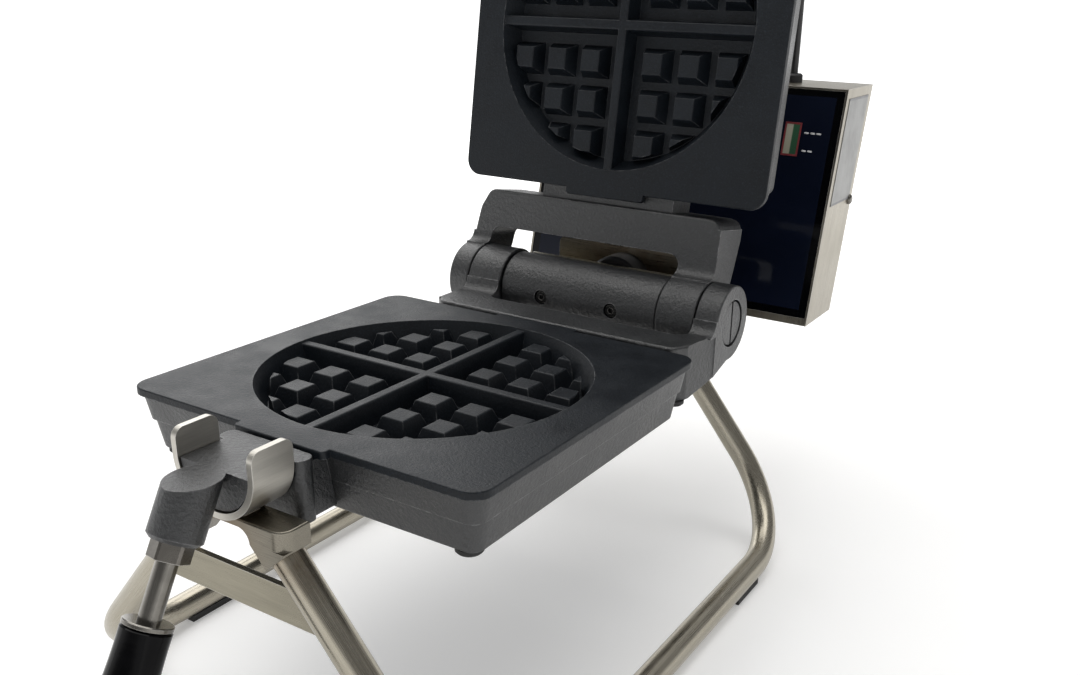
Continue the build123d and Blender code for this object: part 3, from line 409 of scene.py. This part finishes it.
def node_materials():
    """Material of every CAD node."""
    # The second-last argument of each coating is its edge colour: wear mixed with a painted highlight.
    plate = cast_coating("baking_iron", (0.0036, 0.0052, 0.0078), (0.0068, 0.0094, 0.0130),
                         1.0 * MM, 0.22 * MM, (0.36, 0.50), (0.13, 0.135, 0.14), 0.26)
    casting = cast_coating("dark_casting", (0.0068, 0.0076, 0.0088), (0.0130, 0.0143, 0.0160),
                           1.6 * MM, 0.60 * MM, (0.30, 0.44), (0.30, 0.30, 0.305), 0.85)
    raw = drawn_steel("raw_steel", (0, 1, 0), (0.16, 0.15, 0.135), (0.24, 0.40))
    sheet_x = stainless("stainless_x", (1, 0, 0), (0.27, 0.25, 0.195))
    sheet_z = stainless("stainless_z", (0, 0.26, 0.966), (0.31, 0.285, 0.235))
    black = moulded("black_plastic", (0.02, 0.02, 0.022))
    rubber = moulded("black_rubber", (0.018, 0.018, 0.018), (0.6, 0.8), 0.9 * MM, 0.06 * MM)
    found = {
        "front_crossbar": heat_steel("crossbar_steel", (1, 0, 0), node_middle("front_crossbar"),
                                     (0.008, 0.034)),
        "rear_crossbar": heat_steel("rear_bar_steel", (1, 0, 0), node_middle("rear_crossbar"),
                                    (0.008, 0.034)),
        "stand_tube_left": tube_steel("tube_left", -1), "stand_tube_right": tube_steel("tube_right", 1),
        "saddle": stainless("saddle_steel", (0, 1, 0), (0.52, 0.50, 0.455), (0.34, 0.48), 0.2 * MM),
        "front_brace": sheet_x,
        "anti_slip_pads": rubber,
        "bearing_housing": moulded("black_enamel", (0.014, 0.014, 0.016), (0.35, 0.5)),
        "bearing_bush": drawn_steel("bronze", (0, 1, 0), (0.45, 0.30, 0.14), (0.28, 0.42)),
        "bearing_plate": heat_steel("bearing_plate_steel", (1, 0, 0), node_middle("bearing_bush"),
                                    (0.02, 0.075)),
        "bearing_plate_bolts": raw, "wiring_duct": sheet_x, "box_tray": sheet_x, "box_shell": sheet_z,
        "glass_panel": dark_glass("dark_glass"),
        "indicator_bezel": moulded("red_plastic", (0.16, 0.016, 0.02)),
        "indicator_window": lit_window("indicator_light"), "back_cover": stainless("cover_steel", (1, 0, 0)),
        "mains_gland": black, "rating_label": foil("silver_label"), "box_side_screws": raw,
        "circuit_board": moulded("green_board", (0.03, 0.14, 0.06), (0.25, 0.4)), "board_parts": black,
        "board_posts": black, "box_lead_gland": black, "upper_lead_gland": black,
        "upper_lead": rubber,
        "hinge_barrel": casting,
        "barrel_screws": drawn_steel("screw_steel", (0, 1, 0), (0.05, 0.05, 0.05), (0.3, 0.5)),
        "hinge_pin": raw, "rear_shaft": raw, "back_plate": sheet_x,
    }
    grip = black_gloss("black_grip")
    sheath = drawn_steel("element_sheath", (0, 1, 0), (0.20, 0.18, 0.16), (0.4, 0.6))
    pad = fibre("mineral_fibre")
    for which in ("lower", "upper"):
        axis = handle_axis(which == "upper")
        bar = drawn_steel(which + "_polished_steel", axis, (0.20, 0.19, 0.172), (0.14, 0.28))
        found.update({
            which + "_casting": casting, which + "_grid_plate": plate, which + "_bottom_cover": casting,
            which + "_cover_screws": raw, which + "_feet": rubber, which + "_heating_element": sheath,
            which + "_insulation_pad": pad, which + "_thermostat_probe": sheath,
            which + "_handle_nut": raw, which + "_handle_rod": bar, which + "_handle_ferrule": bar,
            which + "_handle_grip": grip, which + "_pin_end_cap": casting,
        })
    return found


def node_middle(node):
    low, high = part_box(node)
    return tuple((a + b) / 2 for a, b in zip(low, high))


def paint_nodes():
    for name, material in node_materials().items():
        for place in NODES[name].material_slots:
            place.material = material


# ---- Small trim ------------------------------------------------------------------------------
def new_piece(name, shape, material, body):
    """Turn a bmesh into a piece that rides on a body."""
    mesh = bpy.data.meshes.new(name)
    bmesh.ops.recalc_face_normals(shape, faces=shape.faces)
    shape.to_mesh(mesh)
    shape.free()
    mesh.materials.append(material)
    for face in mesh.polygons:
        face.use_smooth = True
    made = bpy.data.objects.new(name, mesh)
    bpy.context.collection.objects.link(made)
    if body:
        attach(made, body)
    return made


def route_line(points):
    """Even points along the smooth line that has the route as its control points."""
    curve = bpy.data.curves.new("route", "CURVE")
    curve.dimensions = "3D"
    spline = curve.splines.new("NURBS")
    spline.points.add(len(points) - 1)
    for place, point in zip(spline.points, points):
        place.co = (*point, 1.0)
    spline.order_u = 3
    spline.use_endpoint_u = True
    spline.resolution_u = 16
    holder = bpy.data.objects.new("route", curve)
    mesh = bpy.data.meshes.new_from_object(holder)
    line = [vertex.co.copy() for vertex in mesh.vertices]
    bpy.data.objects.remove(holder)
    bpy.data.meshes.remove(mesh)
    bpy.data.curves.remove(curve)
    return line


def tube(line, radius, sides=14):
    """A closed round tube along a line, with a frame that doesn't twist."""
    shape = bmesh.new()
    across = (line[1] - line[0]).orthogonal().normalized()
    rings = []
    for index, point in enumerate(line):
        ahead = (line[min(index + 1, len(line) - 1)] - line[max(index - 1, 0)]).normalized()
        across = (across - ahead * across.dot(ahead)).normalized()
        third = ahead.cross(across)
        turns = [2 * math.pi * n / sides for n in range(sides)]
        spokes = [math.cos(t) * across + math.sin(t) * third for t in turns]
        rings.append([shape.verts.new(point + radius * spoke) for spoke in spokes])
    for low, high in zip(rings, rings[1:]):
        for n in range(sides):
            shape.faces.new((low[n], low[n - 1], high[n - 1], high[n]))
    shape.faces.new(rings[0])
    shape.faces.new(list(reversed(rings[-1])))
    return shape


def lead(material):
    """The lead in two lengths that meet at its crown, so that each crosses one joint."""
    line = route_line(LEAD_ROUTE)
    crown = max(range(len(line)), key=lambda index: line[index].z)
    halves = (("lead_to_crown", line[:crown + 1], "stand", "lower_iron"),
              ("lead_to_lid", line[crown:], "lower_iron", "upper_iron"))
    for name, part, first, second in halves:
        piece = new_piece(name, tube(part, LEAD_D / 2), material, None)
        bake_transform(piece)
    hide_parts("upper_lead")


def glass_mark(name, x, z, length, height, material):
    """A small printed bar on the leaning glass, with round ends."""
    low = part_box("glass_panel")[0]
    shell_low, shell_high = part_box("box_shell")
    lean = math.atan2(BOX_LEAN, shell_high.z - shell_low.z)
    base_y = low.y + (z - low.z) * math.tan(lean)
    shape = bmesh.new()
    half = height / 2
    turns = [math.pi * n / 8 for n in range(9)]
    right = [(length / 2 - half + half * math.sin(t), half * math.cos(t)) for t in turns]
    left = [(-a, -b) for a, b in right]
    face = shape.faces.new([shape.verts.new((a, 0, b)) for a, b in right + left])
    grown = bmesh.ops.extrude_face_region(shape, geom=[face])["geom"]
    thick = [v for v in grown if isinstance(v, bmesh.types.BMVert)]
    bmesh.ops.translate(shape, verts=thick, vec=(0, -0.12 * MM, 0))
    turn = Matrix.Translation((x, base_y, z)) @ Matrix.Rotation(-lean, 4, "X")
    bmesh.ops.transform(shape, matrix=turn, verts=shape.verts)
    return new_piece(name, shape, material, "stand")


def glass_marks():
    """Two rows of plain bars beside the indicator window."""
    ink = moulded("pale_ink", (0.50, 0.51, 0.53), (0.4, 0.5))
    low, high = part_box("indicator_bezel")
    for row, count, z in (("upper", 3, high.z - 6.5 * MM), ("lower", 2, low.z + 4.0 * MM)):
        for index in range(count):
            x = high.x + (4.2 + 4.4 * index) * MM
            glass_mark(f"{row}_glass_mark_{index + 1}", x, z, 3.4 * MM, 1.2 * MM, ink)


def weld_bead(name, start, end, radius, material, steps=28, sides=10):
    """A rippled fillet weld laid along a straight seam."""
    line = [Vector(start).lerp(Vector(end), n / steps) for n in range(steps + 1)]
    shape = tube(line, radius, sides)
    shape.verts.ensure_lookup_table()
    for index, vertex in enumerate(shape.verts):
        ring = index // sides
        close = min(ring, steps - ring) / steps
        swell = min(1.0, 0.35 + 6 * close) * (1.0 + 0.13 * math.sin(ring * 2.1))
        middle = line[min(ring, steps)]
        vertex.co = middle + (vertex.co - middle) * swell
    return new_piece(name, shape, material, "stand")


def saddle_welds():
    """Welds between the saddle and the front crossbar."""
    low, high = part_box("front_crossbar")
    steel = heat_steel("weld_steel", (1, 0, 0), node_middle("front_crossbar"), (0.004, 0.02))
    for name, side in (("saddle_weld_left", -1), ("saddle_weld_right", 1)):
        x, z = side * 9.6 * MM, high.z - 0.3 * MM
        weld_bead(name, (x, low.y + 3 * MM, z), (x, high.y - 3 * MM, z), 1.5 * MM, steel)


# ---- Stage -----------------------------------------------------------------------------------
def floor():
    """A wide pale floor that fades into the white surroundings."""
    mesh = bpy.data.meshes.new("floor")
    shape = bmesh.new()
    bmesh.ops.create_circle(shape, cap_ends=True, segments=96, radius=25.0)
    shape.to_mesh(mesh)
    shape.free()
    made = bpy.data.objects.new("floor", mesh)
    made.location.z = CAD_BOX[0].z
    bpy.context.collection.objects.link(made)
    p = Paint("pale_floor")
    length = p.node("ShaderNodeVectorMath", operation="LENGTH")
    p.feed(p.place, length.inputs[0])
    glow = p.span(length.outputs["Value"], 0.3, 2.2, *FLOOR_GLOW)
    p.feed((1.0, 1.0, 1.0), p.shader.inputs["Emission Color"])
    p.feed(glow, p.shader.inputs["Emission Strength"])
    tone = p.mix(p.noise(0.3, 3.0), (0.87, 0.87, 0.87), (0.89, 0.89, 0.89))
    mesh.materials.append(p.done(tone, 0.9))


def area_light(name, at, aim, size, power, color=(1.0, 1.0, 1.0)):
    data = bpy.data.lights.new(name, "AREA")
    data.shape = "RECTANGLE"
    data.size, data.size_y = size
    data.energy = power
    data.color = color
    made = bpy.data.objects.new(name, data)
    made.location = at
    made.rotation_euler = (Vector(aim) - Vector(at)).to_track_quat("-Z", "Y").to_euler()
    bpy.context.collection.objects.link(made)
    return made


def lights():
    """White surroundings near the horizon, a dim ceiling, and softboxes above and to the left."""
    world = bpy.data.worlds.new("studio")
    world.use_nodes = True
    bpy.context.scene.world = world
    n = Nodes(world.node_tree)
    way = n.node("ShaderNodeTexCoord").outputs["Generated"]
    height = n.dot(way, (0, 0, 1))
    ceiling = n.span(n.dot(way, LEFT_REAR), 0.2, 0.95, *CEILING)
    strength = n.node("ShaderNodeMix", data_type="FLOAT")
    n.feed(n.span(height, 0.10, 0.26), strength.inputs[0])
    n.feed(HORIZON, strength.inputs[2])
    n.feed(ceiling, strength.inputs[3])
    back = world.node_tree.nodes["Background"]
    n.feed(strength.outputs[0], back.inputs["Strength"])
    back.inputs["Color"].default_value = (1.0, 1.0, 1.0, 1.0)
    area_light("overhead", (-0.5, 0.3, 2.6), (0, 0, 0.1), (3.0, 3.0), 60, (1.0, 0.99, 0.97))
    area_light("rear_left", (-2.2, 1.4, 1.3), (0, 0, 0.2), (1.4, 1.4), 14)


def camera():
    data = bpy.data.cameras.new("camera")
    data.sensor_width = 36.0
    data.lens = LENS_MM
    data.shift_x, data.shift_y = SHIFT
    made = bpy.data.objects.new("camera", data)
    back = CAMERA_RIGHT.cross(-CAMERA_DOWN).normalized()
    turn = Matrix((CAMERA_RIGHT, -CAMERA_DOWN, back)).transposed().to_4x4()
    made.matrix_world = Matrix.Translation(CAMERA_AT) @ turn
    bpy.context.collection.objects.link(made)
    bpy.context.scene.camera = made


camera()
paint_nodes()
lead(moulded("lead_rubber", (0.016, 0.016, 0.017), (0.38, 0.5), 0.9 * MM, 0.03 * MM))
glass_marks()
saddle_welds()
floor()
lights()
bpy.context.scene.view_settings.view_transform = "Standard"
